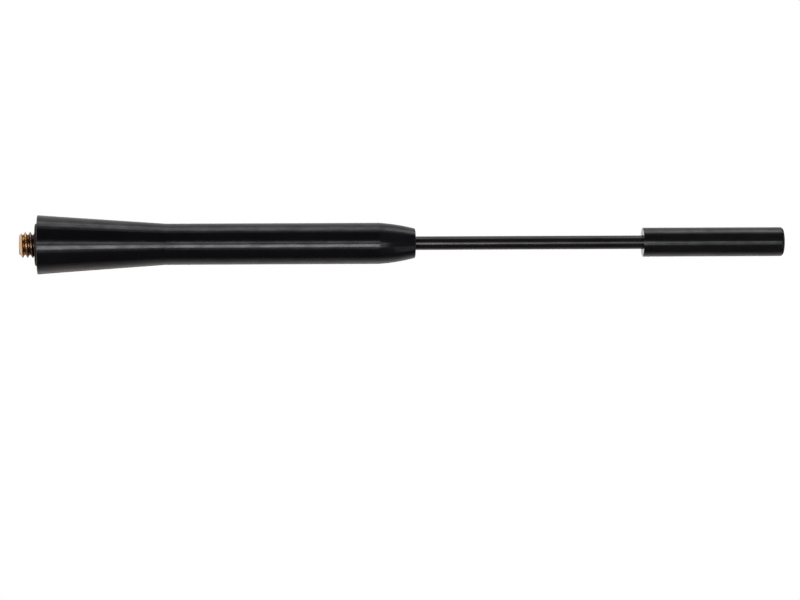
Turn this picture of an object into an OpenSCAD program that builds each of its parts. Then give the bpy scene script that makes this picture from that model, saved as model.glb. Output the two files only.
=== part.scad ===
// Short rigid mast aerial for a car: a flared, turned foot that screws to the
// car on a brass stud, a slim black rod and a turned cap on the rod's tip.
// Millimetres. Z runs up the mast, and Z = 0 is the face that seats on the car.

/* [Body] */
// Height of the turned body, from its rim to the flat end of its nose
body_h = 78.4; // [60:0.1:120]
// Diameter of the flared foot at its rim
rim_d = 12.3; // [11:0.1:16]
// Height of the flare above the rim
flare_h = 26.6; // [15:0.2:40]
// Diameter of the straight shaft
shaft_d = 8.6; // [8:0.1:10]
// Height of the rounded nose
nose_h = 7.5; // [5:0.1:12]
// Diameter of the flat end of the nose
nose_d = 6.15; // [5:0.05:6.8]
// Angle at which the nose turns in from the shaft, in degrees
nose_angle = 3.7; // [0:0.1:5]
// Width of the broken edges at the rim and the nose
edge = 0.2; // [0.1:0.05:0.4]

/* [Stud] */
// Outside diameter of the thread that screws into the car
car_thread_d = 5.4; // [4:0.1:6]
// Outside diameter of the thread that screws into the body
body_thread_d = 5; // [4:0.1:6]
// Pitch of both threads
thread_pitch = 1; // [0.7:0.05:1]
// Length of the whole stud
stud_l = 16.5; // [12:0.5:20]
// How far the stud stands out below the seat
stud_reach = 3.2; // [2.5:0.1:8]
// Width of the 45 degree bevel at each end of the stud
stud_lead = 0.7; // [0.3:0.1:1]
// Length of the plain neck between the two threads
neck_h = 1.5; // [0.5:0.1:3]
// Depth of the tapping drill beyond the end of the stud
drill_past = 2; // [1:0.5:4]

/* [Seal] */
// Outside diameter of the rubber ring under the foot
seal_d = 8.8; // [7.5:0.1:9.6]
// Thickness of the ring
seal_h = 2; // [1.2:0.1:3]
// How far the ring stands out below the rim
seal_proud = 0.5; // [0.2:0.1:0.8]
// Radius of the ring's outer edge
seal_edge_r = 0.3; // [0.1:0.05:0.5]

/* [Rod] */
// Diameter of the rod
rod_d = 2.85; // [2:0.05:3.6]
// Length of the rod that shows between body and cap
rod_free_h = 47.8; // [20:0.1:120]
// Length of the rod that is held in the body
rod_seat_h = 15; // [8:0.5:25]
// Bevel at the rod's two ends
rod_bevel = 0.3; // [0.1:0.1:0.6]

/* [Cap] */
// Diameter of the cap
cap_d = 6.1; // [5:0.1:8]
// Height of the cap
cap_h = 29.7; // [24:0.1:45]
// Length of the rod that is held in the cap
cap_seat_h = 20; // [10:0.5:21]
// Radius round the cap's closed end
cap_tip_r = 0.6; // [0.2:0.1:1]
// Width of the broken edge round the cap's open end
cap_edge = 0.1; // [0.05:0.05:0.3]

/* [Fits] */
// Clearance all round the threads of the stud
thread_fit = 0.05; // [0.02:0.01:0.1]
// Clearance round the outside of the seal
seal_fit = 0.05; // [0.02:0.01:0.15]
// Clearance all round the rod in its two seats
rod_fit = 0.02; // [0.01:0.01:0.04]
// Width of the bevel at the mouths of the rod's two seats
mouth = 0.15; // [0.05:0.05:0.3]

/* [Hidden] */

// Half angle of a drill's point
drill_point = 59;
// Depth of a 60 degree thread as a share of its pitch
thread_depth_share = 0.6134;
// How far a cutting shape runs past the face that it opens
past = 0.5;
// Facets of a full turn, and of the long curve of the nose
turn_fn = 96;
nose_fn = 720;
// Steps in a small rounded edge
edge_steps = 8;

rim_r = rim_d / 2;
shaft_r = shaft_d / 2;
nose_r = nose_d / 2;
thread_depth = thread_depth_share * thread_pitch;
car_thread_r = car_thread_d / 2;
body_thread_r = body_thread_d / 2;
neck_r = min(car_thread_r, body_thread_r) - thread_depth;
seal_r = seal_d / 2;
rod_r = rod_d / 2;
cap_r = cap_d / 2;

// Heights up the mast
rim_z = seal_proud;
waist_z = rim_z + flare_h;
nose_top_z = rim_z + body_h;
nose_foot_z = nose_top_z - nose_h;
stud_foot_z = -stud_reach;
stud_top_z = stud_foot_z + stud_l;
rod_foot_z = nose_top_z - rod_seat_h;
cap_foot_z = nose_top_z + rod_free_h;
rod_top_z = cap_foot_z + cap_seat_h;
cap_top_z = cap_foot_z + cap_h;

// The nose is one arc from the shaft to its flat end, so its mean angle and
// the angle at its foot give the angle at its top and the arc's radius.
nose_mean_angle = atan((shaft_r - nose_r) / nose_h);
nose_top_angle = 2 * nose_mean_angle - nose_angle;
nose_arc_r = nose_h / (sin(nose_top_angle) - sin(nose_angle));

body_colour = [0.05, 0.05, 0.055];
rod_colour = [0.09, 0.08, 0.08];
rubber_colour = [0.03, 0.03, 0.03];
brass_colour = [0.72, 0.45, 0.2];

// Points of a quarter circle of radius r about c, from angle a to angle b
function arc(c, r, a, b, steps = edge_steps) =
    [for (i = [0:steps]) c + r * [cos(a + (b - a) * i / steps), sin(a + (b - a) * i / steps)]];

// A blind hole drilled upwards from z to top_z, with its pointed end beyond
module drilled_up(r, z, top_z) {
    translate([0, 0, z]) cylinder(r = r, h = top_z - z, $fn = turn_fn);
    translate([0, 0, top_z]) cylinder(r1 = r, r2 = 0, h = r / tan(drill_point), $fn = turn_fn);
}

// The same hole drilled downwards from z to foot_z
module drilled_down(r, z, foot_z) {
    translate([0, 0, z]) mirror([0, 0, 1]) drilled_up(r, 0, z - foot_z);
}

// A bevel of width w round the mouth of a hole of radius r, on a face at z.
// It opens upwards, or downwards if up is -1.
module mouth_bevel(r, z, w, up = 1) {
    translate([0, 0, z]) mirror([0, 0, up > 0 ? 0 : 1])
        translate([0, 0, -w]) cylinder(r1 = r, r2 = r + w + past, h = w + past, $fn = turn_fn);
}

// Half section of the turned body, before it is drilled
module body_section() {
    polygon([
        [0, rim_z],
        [rim_r - edge, rim_z],
        [rim_r, rim_z + edge],
        [shaft_r, waist_z],
        [shaft_r, nose_foot_z],
        [0, nose_foot_z]
    ]);
    difference() {
        intersection() {
            translate([shaft_r - nose_arc_r * cos(nose_angle), nose_foot_z - nose_arc_r * sin(nose_angle)])
                circle(r = nose_arc_r, $fn = nose_fn);
            translate([0, nose_foot_z]) square([shaft_r, nose_h]);
        }
        translate([nose_r, nose_top_z]) rotate(45) square(edge * sqrt(2), center = true);
    }
}

module mast_body() {
    color(body_colour) difference() {
        rotate_extrude($fn = turn_fn) body_section();
        // Recess that holds the seal
        translate([0, 0, rim_z - past])
            cylinder(r = seal_r + seal_fit, h = seal_h - seal_proud + past, $fn = turn_fn);
        // Tapped hole for the stud, and the tapping drill beyond it
        translate([0, 0, rim_z - past])
            cylinder(r = body_thread_r + thread_fit, h = stud_top_z - rim_z + past, $fn = turn_fn);
        drilled_up(body_thread_r - thread_depth, rim_z, stud_top_z + drill_past);
        // Seat of the rod
        drilled_down(rod_r + rod_fit, nose_top_z + past, rod_foot_z);
        mouth_bevel(rod_r + rod_fit, nose_top_z, mouth);
    }
}

// One thread of the stud as its outside cylinder, with a bevel at its free end
module thread_length(r, length) {
    translate([0, 0, stud_lead]) cylinder(r = r, h = length - stud_lead, $fn = turn_fn);
    cylinder(r1 = r - stud_lead, r2 = r, h = stud_lead, $fn = turn_fn);
}

module thread_stud() {
    color(brass_colour) {
        translate([0, 0, stud_foot_z]) thread_length(car_thread_r, stud_reach);
        cylinder(r = neck_r, h = neck_h, $fn = turn_fn);
        translate([0, 0, stud_top_z]) mirror([0, 0, 1])
            thread_length(body_thread_r, stud_top_z - neck_h);
    }
}

module base_seal() {
    bore_r = max(car_thread_r, body_thread_r) + thread_fit;
    color(rubber_colour) rotate_extrude($fn = turn_fn) polygon(concat(
        [[bore_r, 0]],
        arc([seal_r - seal_edge_r, seal_edge_r], seal_edge_r, -90, 0),
        [[seal_r, seal_h], [bore_r, seal_h]]
    ));
}

module mast_rod() {
    length = rod_top_z - rod_foot_z;
    color(rod_colour) translate([0, 0, rod_foot_z]) rotate_extrude($fn = turn_fn) polygon([
        [0, 0],
        [rod_r - rod_bevel, 0],
        [rod_r, rod_bevel],
        [rod_r, length - rod_bevel],
        [rod_r - rod_bevel, length],
        [0, length]
    ]);
}

module tip_cap() {
    color(body_colour) difference() {
        translate([0, 0, cap_foot_z]) rotate_extrude($fn = turn_fn) polygon(concat(
            [[0, 0], [cap_r - cap_edge, 0], [cap_r, cap_edge]],
            arc([cap_r - cap_tip_r, cap_h - cap_tip_r], cap_tip_r, 0, 90),
            [[0, cap_h]]
        ));
        drilled_up(rod_r + rod_fit, cap_foot_z - past, rod_top_z);
        mouth_bevel(rod_r + rod_fit, cap_foot_z, mouth, -1);
    }
}

mast_body();
thread_stud();
base_seal();
mast_rod();
tip_cap();
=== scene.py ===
"""Looks of the short car mast aerial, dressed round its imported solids.

The mast stands along +Z with its seat on the car at Z = 0. The photograph shows
it lying down, seen almost square from one side, so the camera is rolled by a
quarter turn: right in the picture is +Z and up in the picture is -X.
"""

import math

import bmesh
import bpy
from mathutils import Matrix, Vector


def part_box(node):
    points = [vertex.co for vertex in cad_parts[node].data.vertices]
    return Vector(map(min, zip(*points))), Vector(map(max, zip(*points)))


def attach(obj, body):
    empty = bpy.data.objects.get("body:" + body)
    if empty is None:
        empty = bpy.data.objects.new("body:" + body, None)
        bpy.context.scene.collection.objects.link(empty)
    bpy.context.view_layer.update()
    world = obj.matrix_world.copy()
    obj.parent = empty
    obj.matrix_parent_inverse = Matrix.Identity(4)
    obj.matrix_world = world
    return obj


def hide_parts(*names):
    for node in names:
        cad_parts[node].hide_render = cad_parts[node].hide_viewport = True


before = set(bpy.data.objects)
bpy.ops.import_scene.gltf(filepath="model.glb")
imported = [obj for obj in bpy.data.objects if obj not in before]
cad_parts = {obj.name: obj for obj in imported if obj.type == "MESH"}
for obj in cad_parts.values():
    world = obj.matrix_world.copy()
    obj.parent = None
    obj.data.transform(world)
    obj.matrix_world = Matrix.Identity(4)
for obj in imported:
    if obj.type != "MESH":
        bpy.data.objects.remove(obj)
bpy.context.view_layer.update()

MM = 0.001

# Sizes of the pieces in millimetres. Those that the frame's boxes give are read from
# them, and the others are the solids' own sizes, written again.


def box_mm(node):
    """Radius, foot and top of a turned node, in millimetres."""
    low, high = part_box(node)
    return high.x / MM, low.z / MM, high.z / MM


RIM_R, RIM_Z, NOSE_TOP_Z = box_mm("mast_body")
CAR_THREAD_R, STUD_FOOT_Z, STUD_TOP_Z = box_mm("thread_stud")
SEAL_R, SEAT_Z, SEAL_TOP_Z = box_mm("base_seal")
ROD_R, ROD_FOOT_Z, ROD_TOP_Z = box_mm("mast_rod")
CAP_R, CAP_FOOT_Z, CAP_TOP_Z = box_mm("tip_cap")

FLARE_H = 26.6
WAIST_Z = RIM_Z + FLARE_H
SHAFT_R = 4.3
NOSE_H = 7.5
NOSE_R = 3.075
NOSE_ANGLE = math.radians(3.7)
BODY_THREAD_R = 2.5
THREAD_PITCH = 1.0
# Depth of a 60 degree thread as a share of its pitch
THREAD_DEPTH_SHARE = 0.6134
THREAD_DEPTH = THREAD_DEPTH_SHARE * THREAD_PITCH
STUD_LEAD = 0.7
NECK_H = 1.5
NECK_R = BODY_THREAD_R - THREAD_DEPTH
DRILL_PAST = 2.0
THREAD_FIT = 0.05
SEAL_FIT = 0.05
ROD_FIT = 0.02
MOUTH = 0.15
# Half angle of a drill's point
DRILL_POINT = math.radians(59)

# Radii of the rounded edges, in millimetres
RECESS_EDGE_R = 0.1
RIM_EDGE_R = 0.17
WAIST_BLEND_R = 6
NOSE_EDGE_R = 0.2
SEAL_BORE_EDGE_R = 0.1
SEAL_EDGE_R = 0.3
ROD_END_R = 0.3
CAP_FOOT_EDGE_R = 0.06
CAP_TIP_R = 0.6

# Steps round a turned piece and round the stud, along the nose and in a rounded edge
TURN_STEPS = 192
STUD_STEPS = 128
NOSE_STEPS = 24
EDGE_STEPS = 6
# A ring this close to both ends of a straight stretch keeps its shading straight
HOLD = 0.05
# Edges sharper than these angles, in degrees, are shaded as edges
SHARP_DEG = 30
THREAD_SHARP_DEG = 35


# Outlines of turned pieces: lists of (radius, height)


def corner(before, at, after, radius):
    """The corner at a point of an outline, rounded by an arc of a radius."""
    at = Vector(at)
    to_before = (Vector(before) - at).normalized()
    to_after = (Vector(after) - at).normalized()
    half = to_before.angle(to_after) / 2
    centre = at + (to_before + to_after).normalized() * radius / math.sin(half)
    start = at + to_before * radius / math.tan(half) - centre
    end = at + to_after * radius / math.tan(half) - centre
    sweep = start.angle_signed(end)
    return [
        tuple(centre + Matrix.Rotation(-sweep * i / EDGE_STEPS, 2) @ start)
        for i in range(EDGE_STEPS + 1)
    ]


def rounded(points):
    """An outline from (radius, height) or (radius, height, rounding) points."""
    outline = []
    for i, point in enumerate(points):
        if len(point) == 2:
            outline.append(point)
        else:
            around = points[i - 1][:2], point[:2], points[(i + 1) % len(points)][:2]
            outline += corner(*around, point[2])
    return outline


def held(outline):
    """An outline with a point close to both ends of each long stretch."""
    points = [outline[0]]
    for start, end in zip(outline, outline[1:]):
        way = Vector(end) - Vector(start)
        if way.length > 4 * HOLD:
            step = way.normalized() * HOLD
            points += [tuple(Vector(start) + step), tuple(Vector(end) - step)]
        points.append(end)
    return points


def nose_arc():
    """The nose's arc, from its foot on the shaft to its flat end."""
    mean_angle = math.atan((SHAFT_R - NOSE_R) / NOSE_H)
    top_angle = 2 * mean_angle - NOSE_ANGLE
    radius = NOSE_H / (math.sin(top_angle) - math.sin(NOSE_ANGLE))
    foot_z = NOSE_TOP_Z - NOSE_H
    points = []
    for i in range(NOSE_STEPS + 1):
        angle = NOSE_ANGLE + (top_angle - NOSE_ANGLE) * i / NOSE_STEPS
        r = SHAFT_R + radius * (math.cos(angle) - math.cos(NOSE_ANGLE))
        z = foot_z + radius * (math.sin(angle) - math.sin(NOSE_ANGLE))
        points.append((r, z))
    return points


def body_outline():
    """The foot's outline, from the end of the stud's hole round to the rod's seat."""
    bore_r = BODY_THREAD_R + THREAD_FIT
    drill_r = BODY_THREAD_R - THREAD_DEPTH
    drill_end = STUD_TOP_Z + DRILL_PAST
    recess_r = SEAL_R + SEAL_FIT
    seat_r = ROD_R + ROD_FIT
    return rounded(
        [
            (0, drill_end + drill_r / math.tan(DRILL_POINT)),
            (drill_r, drill_end),
            (drill_r, STUD_TOP_Z),
            (bore_r, STUD_TOP_Z),
            (bore_r, SEAL_TOP_Z),
            (recess_r, SEAL_TOP_Z),
            (recess_r, RIM_Z, RECESS_EDGE_R),
            (RIM_R, RIM_Z, RIM_EDGE_R),
            (SHAFT_R, WAIST_Z, WAIST_BLEND_R),
            *nose_arc()[:-1],
            (NOSE_R, NOSE_TOP_Z, NOSE_EDGE_R),
            (seat_r + MOUTH, NOSE_TOP_Z),
            (seat_r, NOSE_TOP_Z - MOUTH),
            (seat_r, ROD_FOOT_Z),
            (0, ROD_FOOT_Z - seat_r / math.tan(DRILL_POINT)),
        ]
    )


def seal_outline():
    """The seal's outline, which closes on itself."""
    bore_r = CAR_THREAD_R + THREAD_FIT
    return rounded(
        [
            (bore_r, SEAL_TOP_Z),
            (bore_r, SEAT_Z, SEAL_BORE_EDGE_R),
            (SEAL_R, SEAT_Z, SEAL_EDGE_R),
            (SEAL_R, SEAL_TOP_Z),
        ]
    )


def rod_outline():
    """The rod's outline, from its foot to its top."""
    return rounded(
        [
            (0, ROD_FOOT_Z),
            (ROD_R, ROD_FOOT_Z, ROD_END_R),
            (ROD_R, ROD_TOP_Z, ROD_END_R),
            (0, ROD_TOP_Z),
        ]
    )


def cap_outline():
    """The cap's outline, from the end of its hole round to its tip."""
    seat_r = ROD_R + ROD_FIT
    return rounded(
        [
            (0, ROD_TOP_Z + seat_r / math.tan(DRILL_POINT)),
            (seat_r, ROD_TOP_Z),
            (seat_r, CAP_FOOT_Z + MOUTH),
            (seat_r + MOUTH, CAP_FOOT_Z),
            (CAP_R, CAP_FOOT_Z, CAP_FOOT_EDGE_R),
            (CAP_R, CAP_TOP_Z, CAP_TIP_R),
            (0, CAP_TOP_Z),
        ]
    )


# Meshes


def finish_mesh(name, mesh, sharp_deg=SHARP_DEG):
    """Cleans a bmesh, shades it smooth up to its sharp edges, and links it."""
    bmesh.ops.recalc_face_normals(mesh, faces=mesh.faces)
    data = bpy.data.meshes.new(name)
    mesh.to_mesh(data)
    mesh.free()
    data.polygons.foreach_set("use_smooth", [True] * len(data.polygons))
    data.set_sharp_from_angle(angle=math.radians(sharp_deg))
    piece = bpy.data.objects.new(name, data)
    bpy.context.scene.collection.objects.link(piece)
    return piece


def full_turn(steps):
    """The angles of a full turn, in equal steps."""
    return [2 * math.pi * i / steps for i in range(steps)]


def vertex(mesh, radius, turn, height):
    """A vertex at a radius, an angle about the axis and a height."""
    x = radius * MM * math.cos(turn)
    y = radius * MM * math.sin(turn)
    return mesh.verts.new((x, y, height * MM))


def ring(mesh, radius, height, steps=TURN_STEPS):
    """A ring of vertices, or one vertex where the radius is 0."""
    if radius == 0:
        return [vertex(mesh, 0, 0, height)]
    return [vertex(mesh, radius, turn, height) for turn in full_turn(steps)]


def bridge(mesh, a, b):
    """Faces between two rings, either of which may be a single vertex."""
    steps = max(len(a), len(b))
    for i in range(steps):
        j = (i + 1) % steps
        if len(a) == 1:
            mesh.faces.new((a[0], b[i], b[j]))
        elif len(b) == 1:
            mesh.faces.new((a[i], a[j], b[0]))
        else:
            mesh.faces.new((a[i], a[j], b[j], b[i]))


def turned(name, outline, closed=False):
    """A piece turned from an outline, which ends on the axis unless it is closed."""
    mesh = bmesh.new()
    rings = [ring(mesh, r, z) for r, z in held(outline)]
    for a, b in zip(rings, rings[1:]):
        bridge(mesh, a, b)
    if closed:
        bridge(mesh, rings[-1], rings[0])
    return finish_mesh(name, mesh)


# The stud's threads

# Width of the thread's flat crests and roots, as a share of the pitch
CREST_WIDTH = 0.125
ROOT_WIDTH = 0.167
# Height of the crest on the side that faces +X, which the photograph gives
CREST_Z = -0.46
# Rings of vertices for each millimetre of the stud
THREAD_RINGS_PER_MM = 26


def thread_radius(top_r, height, turn):
    """Radius of a right-hand thread of outside radius top_r."""
    pitches = (height - CREST_Z) / THREAD_PITCH - turn / (2 * math.pi)
    off_crest = abs(pitches - round(pitches))
    flank = 0.5 - (CREST_WIDTH + ROOT_WIDTH) / 2
    share = min(1, max(0, (off_crest - CREST_WIDTH / 2) / flank))
    return top_r - THREAD_DEPTH * share


def stud_radius(height, turn):
    """Radius of the stud at a height and an angle: a thread, the neck or a bevel."""
    if SEAT_Z < height <= SEAT_Z + NECK_H:
        return NECK_R
    if height <= SEAT_Z:
        top_r, from_end = CAR_THREAD_R, height - STUD_FOOT_Z
    else:
        top_r, from_end = BODY_THREAD_R, STUD_TOP_Z - height
    lead_bevel = top_r - STUD_LEAD + from_end
    return min(lead_bevel, thread_radius(top_r, height, turn))


def threaded_stud(name):
    """The stud with a helical thread at both ends, and flat ends."""
    mesh = bmesh.new()
    length = STUD_TOP_Z - STUD_FOOT_Z
    last = round(length * THREAD_RINGS_PER_MM)
    rings = [ring(mesh, 0, STUD_FOOT_Z)]
    for i in range(last + 1):
        z = STUD_FOOT_Z + length * i / last
        rings.append([vertex(mesh, stud_radius(z, t), t, z) for t in full_turn(STUD_STEPS)])
    rings.append(ring(mesh, 0, STUD_TOP_Z))
    for a, b in zip(rings, rings[1:]):
        bridge(mesh, a, b)
    return finish_mesh(name, mesh, THREAD_SHARP_DEG)


# Finishes

# The range that most values of a noise lie in
NOISE_RANGE = (0.3, 0.7)


class Finish:
    """A node material, with short ways to add to its graph."""

    def __init__(self, name, sockets):
        self.material = bpy.data.materials.new(name)
        self.material.use_nodes = True
        tree = self.material.node_tree
        self.nodes, self.links = tree.nodes, tree.links
        self.shader = self.nodes["Principled BSDF"]
        self.place = self.nodes.new("ShaderNodeTexCoord").outputs["Object"]
        for socket, value in sockets.items():
            self.shader.inputs[socket].default_value = value

    def link(self, output, socket):
        self.links.new(output, self.shader.inputs[socket])

    def noise(self, sizes_mm, detail=2, roughness=0.5, moved=0):
        """Noise whose features have these sizes along X, Y and Z, moved by features."""
        mapping = self.nodes.new("ShaderNodeMapping")
        mapping.inputs["Location"].default_value = (moved, moved, moved)
        mapping.inputs["Scale"].default_value = [1 / (size * MM) for size in sizes_mm]
        texture = self.nodes.new("ShaderNodeTexNoise")
        texture.inputs["Scale"].default_value = 1
        texture.inputs["Detail"].default_value = detail
        texture.inputs["Roughness"].default_value = roughness
        self.links.new(self.place, mapping.inputs["Vector"])
        self.links.new(mapping.outputs["Vector"], texture.inputs["Vector"])
        return texture.outputs["Fac"]

    def spread(self, value, low, high, to_low, to_high):
        """Maps a value from one range to another, and holds it inside that one."""
        remap = self.nodes.new("ShaderNodeMapRange")
        for socket, number in zip(
            ("From Min", "From Max", "To Min", "To Max"), (low, high, to_low, to_high)
        ):
            remap.inputs[socket].default_value = number
        self.links.new(value, remap.inputs["Value"])
        return remap.outputs["Result"]

    def share(self, value, low, high):
        """How far a value is from low to high, as a share from 0 to 1."""
        return self.spread(value, low, high, 0, 1)

    def vary(self, sizes_mm, to_low, to_high, **texture):
        """A value that noise of these sizes varies between two ends."""
        return self.spread(self.noise(sizes_mm, **texture), *NOISE_RANGE, to_low, to_high)

    def blend(self, value, first, second):
        """A colour between two colours or blends, by a value from 0 to 1."""
        mix = self.nodes.new("ShaderNodeMix")
        mix.data_type = "RGBA"
        # The colour sockets follow those for numbers and vectors
        for socket, colour in (mix.inputs[6], first), (mix.inputs[7], second):
            if isinstance(colour, tuple):
                socket.default_value = (*colour, 1)
            else:
                self.links.new(colour, socket)
        self.links.new(value, mix.inputs[0])
        return mix.outputs[2]

    def height(self):
        """Height up the mast, in millimetres."""
        split = self.nodes.new("ShaderNodeSeparateXYZ")
        self.links.new(self.place, split.inputs["Vector"])
        scale = self.nodes.new("ShaderNodeMath")
        scale.operation = "MULTIPLY"
        scale.inputs[1].default_value = 1 / MM
        self.links.new(split.outputs["Z"], scale.inputs[0])
        return scale.outputs["Value"]

    def axis_distance(self):
        """Distance from the mast's axis, in millimetres."""
        flatten = self.nodes.new("ShaderNodeVectorMath")
        flatten.operation = "MULTIPLY"
        flatten.inputs[1].default_value = (1 / MM, 1 / MM, 0)
        length = self.nodes.new("ShaderNodeVectorMath")
        length.operation = "LENGTH"
        self.links.new(self.place, flatten.inputs[0])
        self.links.new(flatten.outputs["Vector"], length.inputs[0])
        return length.outputs["Value"]

    def bump(self, height, depth_mm, before=None):
        """Relief of a depth from a value, over other relief if there is any."""
        relief = self.nodes.new("ShaderNodeBump")
        relief.inputs["Distance"].default_value = depth_mm * MM
        self.links.new(height, relief.inputs["Height"])
        if before is not None:
            self.links.new(before, relief.inputs["Normal"])
        return relief.outputs["Normal"]


def black_anodised(name, ior, tint, dark, light):
    """Gloss black anodised aluminium with faint turning marks and a thin haze.

    The tint colours its reflections, and dark and light are the two tones of its colour.
    """
    finish = Finish(
        name,
        {"IOR": ior, "Specular Tint": (*tint, 1), "Coat Weight": 0.15, "Coat Roughness": 0.3},
    )
    tone = finish.vary((7, 7, 11), 0, 1, detail=4)
    finish.link(finish.blend(tone, dark, light), "Base Color")
    smear = finish.vary((5, 5, 1.8), 0.09, 0.17, detail=4, roughness=0.6)
    finish.link(smear, "Roughness")
    patches = finish.noise((1.6, 1.6, 3.6), detail=3, roughness=0.6, moved=4.7)
    finish.link(finish.spread(patches, 0.38, 0.62, 0.38, 0.62), "Specular IOR Level")
    waves = finish.bump(finish.noise((6, 6, 5), detail=1), 0.014)
    marks = finish.bump(finish.noise((40, 40, 0.35), detail=3), 0.0008, waves)
    finish.link(marks, "Normal")
    return finish.material


def black_coated():
    """Gloss black coating on a drawn rod, whose reflections waver."""
    finish = Finish(
        "black_coated_rod",
        {
            "IOR": 1.6,
            "Specular Tint": (1, 0.95, 0.965, 1),
            "Coat Weight": 0.3,
            "Coat Roughness": 0.35,
        },
    )
    tone = finish.vary((3, 3, 9), 0, 1, detail=4)
    black = finish.blend(tone, (0.0040, 0.0034, 0.0036), (0.0064, 0.0055, 0.0058))
    finish.link(black, "Base Color")
    smear = finish.vary((2, 2, 5), 0.1, 0.17, detail=3, roughness=0.6)
    finish.link(smear, "Roughness")
    patches = finish.vary((1.5, 1.5, 6), 0.36, 0.64, detail=3, roughness=0.6, moved=21.9)
    finish.link(patches, "Specular IOR Level")
    waves = finish.noise((2.5, 2.5, 9), detail=1)
    finish.link(finish.bump(waves, 0.006), "Normal")
    return finish.material


def black_rubber():
    """Moulded black rubber with a fine, dull grain."""
    finish = Finish(
        "black_rubber_seal",
        {"IOR": 1.5, "Specular IOR Level": 0.25, "Specular Tint": (1, 0.8, 0.74, 1)},
    )
    tone = finish.vary((1.5, 1.5, 1.5), 0, 1, detail=4)
    black = finish.blend(tone, (0.0058, 0.0042, 0.0038), (0.0095, 0.0070, 0.0062))
    finish.link(black, "Base Color")
    finish.link(finish.vary((0.6, 0.6, 0.6), 0.38, 0.5), "Roughness")
    grain = finish.noise((0.12, 0.12, 0.12), detail=3)
    finish.link(finish.bump(grain, 0.004), "Normal")
    return finish.material


def machined_brass():
    """Machined brass, golden at its bevelled end, with painted light: painted shade darkens its
    thread towards the foot, in its roots and at the bevel's outer edge, and noise lays patches of
    painted highlight on it.
    """
    finish = Finish("machined_brass", {"Metallic": 1})
    root_r = CAR_THREAD_R - THREAD_DEPTH
    lead_top = STUD_FOOT_Z + STUD_LEAD
    # Each share tells two places apart: root and crest, thread in the light and thread in
    # painted shade towards the foot, bevel and thread, and the bevel's outer edge, painted
    # darker as shade, and the rest of it
    crest = finish.share(finish.axis_distance(), root_r + 0.1, CAR_THREAD_R - 0.05)
    # Painted shade: the thread is coloured darker towards the foot, which shades it
    painted_foot_shade = finish.share(finish.height(), lead_top, SEAT_Z - 0.8)
    beyond_lead = finish.share(finish.height(), lead_top - 0.2, lead_top + 0.05)
    # Painted shade: the bevel's outer edge is coloured darker than the rest of it
    off_edge = finish.share(finish.height(), STUD_FOOT_Z, STUD_FOOT_Z + 0.35)
    # Painted highlight: noise lays bright golden patches, with darker ones between, on the thread and
    # bevel
    painted_glint = finish.share(finish.noise((1.2, 1.2, 1), detail=2), 0.46, 0.58)
    gold = finish.blend(painted_glint, (0.27, 0.14, 0.04), (0.85, 0.52, 0.2))
    # Painted shade: the roots are coloured darker than the crests, darkest near the foot
    roots = finish.blend(painted_foot_shade, gold, (0.1, 0.047, 0.03))
    crests = finish.blend(painted_foot_shade, (0.85, 0.56, 0.33), (0.42, 0.28, 0.22))
    thread = finish.blend(crest, roots, crests)
    bevel = finish.blend(painted_glint, (0.86, 0.6, 0.4), (1, 0.7, 0.47))
    lead = finish.blend(off_edge, (0.52, 0.41, 0.31), bevel)
    finish.link(finish.blend(beyond_lead, lead, thread), "Base Color")
    finish.link(finish.vary((0.5, 0.5, 0.5), 0.2, 0.34, detail=4), "Roughness")
    marks = finish.noise((0.9, 0.9, 0.1), detail=3)
    finish.link(finish.bump(marks, 0.002), "Normal")
    return finish.material


# The pieces: mesh, material, the node that each replaces and the record's slot

body_black = black_anodised(
    "black_anodised_body",
    ior=1.5,
    tint=(0.955, 0.955, 1),
    dark=(0.0021, 0.0021, 0.0029),
    light=(0.0033, 0.0033, 0.0044),
)
cap_black = black_anodised(
    "black_anodised_cap",
    ior=1.6,
    tint=(0.98, 0.98, 1),
    dark=(0.0021, 0.0021, 0.0026),
    light=(0.0032, 0.0032, 0.0038),
)
PIECES = [
    (turned("turned_body", body_outline()), body_black, "mast_body", "black_anodised_aluminium"),
    (turned("rubber_seal", seal_outline(), closed=True), black_rubber(), "base_seal", "black_rubber"),
    (turned("coated_rod", rod_outline()), black_coated(), "mast_rod", "black_coated_steel"),
    (turned("turned_cap", cap_outline()), cap_black, "tip_cap", "black_anodised_aluminium"),
    (threaded_stud("brass_stud"), machined_brass(), "thread_stud", "brass"),
]

for piece, material, node, slot in PIECES:
    piece.data.materials.append(material)
    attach(piece, "root")
    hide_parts(node)


# The camera, from what the photograph's ellipses show

# Width of the photograph and focal length in its pixels, and width of the sensor in mm
PHOTO_W = 800
FOCAL_PX = 3260
SENSOR_W = 36
# How far the camera stands from the mast, and where it is along and beside it
CAMERA_AWAY = 678.7
CAMERA_Z = RIM_Z + 31.28
CAMERA_X = 11.84
# How far it is turned towards the mast's tip, and rolled
CAMERA_TURN = math.radians(3.703)
CAMERA_ROLL = math.radians(-0.315)


def photo_camera():
    """The camera, with the mast lying across its picture."""
    lens = bpy.data.cameras.new("camera")
    lens.sensor_width = SENSOR_W
    lens.lens = FOCAL_PX * SENSOR_W / PHOTO_W
    lens.clip_start = 0.05
    lens.clip_end = 20
    camera = bpy.data.objects.new("camera", lens)
    ahead = Vector((0, math.cos(CAMERA_TURN), math.sin(CAMERA_TURN)))
    up = Vector((-1, 0, 0))
    right = ahead.cross(up)
    square_on = Matrix((right, up, -ahead)).transposed()
    place = Vector((CAMERA_X, -CAMERA_AWAY, CAMERA_Z)) * MM
    rolled = square_on @ Matrix.Rotation(CAMERA_ROLL, 3, "Z")
    camera.matrix_world = Matrix.LocRotScale(place, rolled, None)
    bpy.context.scene.collection.objects.link(camera)
    return camera


bpy.context.scene.camera = photo_camera()


# The studio: tall soft lights round the mast in a dark room, over a pale ground

# Distance of the soft lights from the mast
LIGHT_AWAY = 1500
WHITE = (1, 1, 1)
WARM = (1, 0.935, 0.89)
# Lowest point of the lights, so far down that views from high up still mirror them
LOW = -2600
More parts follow.
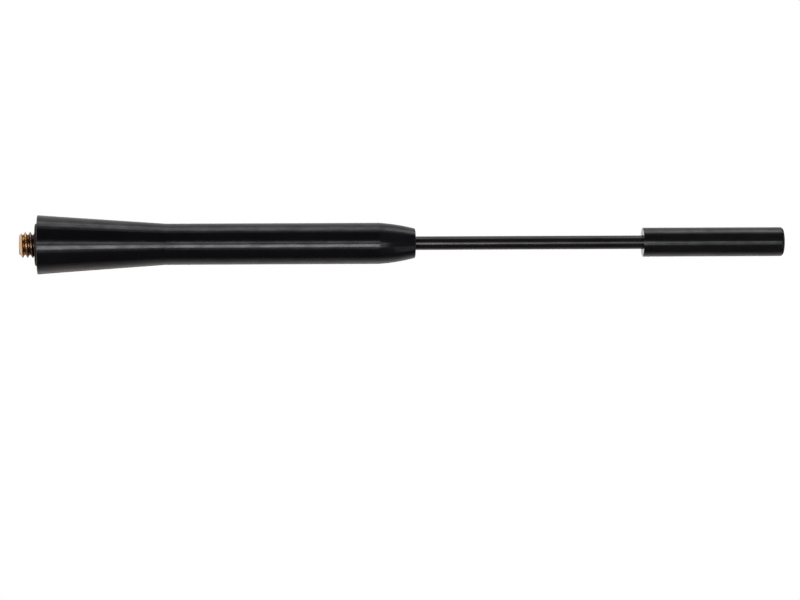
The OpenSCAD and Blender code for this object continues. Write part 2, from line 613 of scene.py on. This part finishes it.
# Name, colour, first and last angle round the mast (from the camera towards -X, in
# degrees), radiance, lowest and highest point. Each row is a part of the studio that
# the photograph's black gloss mirrors: a key and a fill in front, broken off where
# their streaks end, a side light that edges the upper side, and the table's glow.
SOFT_LIGHTS = [
    ("key", WHITE, -20, -5.5, 4.35, LOW, 155),
    ("key_flare", WHITE, -20, -5.5, 4.8, 155, 211),
    ("key_end", WHITE, -20, -5.5, 2.4, 211, 240),
    ("key_edge", WHITE, -32, -20, 0.35, LOW, 200),
    ("key_far", WHITE, -24, -8, 1.0, 240, 337),
    ("key_cap", WHITE, -24, -8, 0.7, 337, 470),
    ("between", WHITE, -5.5, 2.5, 0.4, LOW, 240),
    ("fill", WHITE, 2.5, 10.5, 1.5, LOW, 211),
    ("fill_end", WHITE, 2.5, 10.5, 1.2, 211, 240),
    ("fill_edge", WHITE, 10.5, 17, 0.2, LOW, 200),
    ("fill_far", WHITE, -8, 3, 1.7, 240, 337),
    ("fill_cap", WHITE, -8, 3, 1.3, 337, 480),
    ("far_middle", WHITE, -24, 3, 0.06, 430, 1300),
    ("far_glow", WHITE, -60, -24, 0.25, 600, 1300),
    ("far_low", WHITE, -84, -24, 0.06, 340, 1300),
    ("far_up", WHITE, 3, 66, 0.06, 340, 1300),
    ("low_glow", WHITE, -84, -32, 0.015, LOW, 340),
    ("below_up", WHITE, 25, 75, 0.6, LOW, -280),
    ("below_down", WHITE, -75, -35, 0.4, LOW, -280),
    ("side_edge", WHITE, 66, 79, 0.3, LOW, 1000),
    ("side", WHITE, 79, 104, 1.45, LOW, 160),
    ("side_rod", WHITE, 79, 104, 0.95, 160, 337),
    ("side_far", WHITE, 79, 104, 1.45, 337, 1000),
    ("table_up", WHITE, 104, 171, 0.6, LOW, 1000),
    ("behind_low", WHITE, 171, 189, 0.6, LOW, -50),
    ("behind", WHITE, 171, 189, 2.6, -50, 1000),
    ("table_down", WARM, -158, -122, 0.66, LOW, 1000),
    ("table_near", WARM, -122, -110, 0.5, LOW, 1000),
    ("table_nearer", WARM, -110, -98, 0.36, LOW, 1000),
    ("table_nearest", WARM, -98, -87, 0.17, LOW, 1000),
]


def soft_light(name, colour, first, last, radiance, low, high):
    """A tall soft light that faces the mast, of an even radiance."""
    angle = math.radians((first + last) / 2)
    outward = Vector((-math.sin(angle), -math.cos(angle), 0))
    light = bpy.data.lights.new(name, "AREA")
    light.shape = "RECTANGLE"
    light.color = colour
    light.size = 2 * LIGHT_AWAY * MM * math.tan(math.radians(last - first) / 2)
    light.size_y = (high - low) * MM
    light.energy = radiance * math.pi * light.size * light.size_y
    lamp = bpy.data.objects.new(name, light)
    lamp.location = outward * LIGHT_AWAY * MM + Vector((0, 0, (low + high) / 2 * MM))
    lamp.rotation_mode = "QUATERNION"
    lamp.rotation_quaternion = (-outward).to_track_quat("-Z", "Y")
    lamp.visible_camera = False
    bpy.context.scene.collection.objects.link(lamp)


for row in SOFT_LIGHTS:
    soft_light(*row)


def overhead(radiance=0.4, width=2400, height=1900):
    """A wide soft light above the mast."""
    light = bpy.data.lights.new("overhead", "AREA")
    light.size = width * MM
    light.energy = radiance * math.pi * light.size**2
    lamp = bpy.data.objects.new("overhead", light)
    lamp.location = (0, 0, height * MM)
    lamp.visible_camera = False
    bpy.context.scene.collection.objects.link(lamp)


overhead()


def plain(name, colour, glow=0):
    """A matt material of one colour for what isn't part of the object."""
    material = bpy.data.materials.new(name)
    material.use_nodes = True
    shader = material.node_tree.nodes["Principled BSDF"]
    shader.inputs["Base Color"].default_value = (*colour, 1)
    shader.inputs["Roughness"].default_value = 1
    shader.inputs["Specular IOR Level"].default_value = 0
    shader.inputs["Emission Color"].default_value = (1, 1, 1, 1)
    shader.inputs["Emission Strength"].default_value = glow
    return material


ROOM_R = 1900
ROOM_LOW_Z = -3000
ROOM_TOP_Z = 2400
# Steps round the room and the card, and round the ground
ROOM_STEPS = 64
GROUND_STEPS = 96


def dark_room():
    """Black walls, floor and ceiling that only reflections see."""
    mesh = bmesh.new()
    outline = [(0, ROOM_LOW_Z), (ROOM_R, ROOM_LOW_Z), (ROOM_R, ROOM_TOP_Z), (0, ROOM_TOP_Z)]
    rings = [ring(mesh, r, z, ROOM_STEPS) for r, z in outline]
    for a, b in zip(rings, rings[1:]):
        bridge(mesh, a, b)
    room = finish_mesh("dark_room", mesh)
    room.data.materials.append(plain("black_cloth", (0, 0, 0)))
    room.visible_camera = False
    room.visible_diffuse = False
    room.visible_transmission = False
    room.visible_shadow = False


GROUND_Z = -100
GROUND_R = 1400
# Distances from the axis between which the ground turns from pale grey to white
GROUND_FADE = (250, 900)
CARD_Z = -12
CARD_R = 16
PALE = (0.82, 0.82, 0.82)
# How far the pale ground and card glow of themselves
PALE_GLOW = 0.15


def ground():
    """A pale floor below the mast, which turns white further out."""
    mesh = bmesh.new()
    bridge(mesh, ring(mesh, GROUND_R, GROUND_Z, GROUND_STEPS), ring(mesh, 0, GROUND_Z))
    floor = finish_mesh("ground", mesh)
    finish = Finish("pale_ground", {"Roughness": 1, "Specular IOR Level": 0})
    finish.shader.inputs["Emission Color"].default_value = (1, 1, 1, 1)
    out = finish.share(finish.axis_distance(), *GROUND_FADE)
    finish.link(finish.blend(out, PALE, (0, 0, 0)), "Base Color")
    finish.link(finish.spread(out, 0, 1, PALE_GLOW, 1), "Emission Strength")
    floor.data.materials.append(finish.material)
    # The mast mirrors the lights and the dark room as if the floor weren't there
    floor.visible_glossy = False
    floor.visible_shadow = False


def card():
    """A pale card under the foot, which the foot mirrors and the camera doesn't see."""
    mesh = bmesh.new()
    bridge(mesh, ring(mesh, CARD_R, CARD_Z, ROOM_STEPS), ring(mesh, 0, CARD_Z))
    reflector = finish_mesh("card", mesh)
    reflector.data.materials.append(plain("white_card", PALE, glow=PALE_GLOW))
    reflector.visible_camera = False
    reflector.visible_shadow = False


dark_room()
ground()
card()

# Strength of the world as a fill light. Where it is seen, it has a strength of 1.
WORLD_FILL = 0.5


def white_world():
    """White behind the object, also in reflections, and a soft grey fill elsewhere."""
    world = bpy.data.worlds.new("studio")
    world.use_nodes = True
    nodes, links = world.node_tree.nodes, world.node_tree.links
    background = nodes["Background"]
    background.inputs["Color"].default_value = (1, 1, 1, 1)
    path = nodes.new("ShaderNodeLightPath")
    seen = path.outputs["Is Camera Ray"]
    for way in ("Is Glossy Ray", "Is Transmission Ray"):
        either = nodes.new("ShaderNodeMath")
        either.operation = "MAXIMUM"
        links.new(seen, either.inputs[0])
        links.new(path.outputs[way], either.inputs[1])
        seen = either.outputs["Value"]
    level = nodes.new("ShaderNodeMapRange")
    level.inputs["To Min"].default_value = WORLD_FILL
    level.inputs["To Max"].default_value = 1
    links.new(seen, level.inputs["Value"])
    links.new(level.outputs["Result"], background.inputs["Strength"])
    return world


bpy.context.scene.world = white_world()
bpy.context.scene.view_settings.view_transform = "Standard"
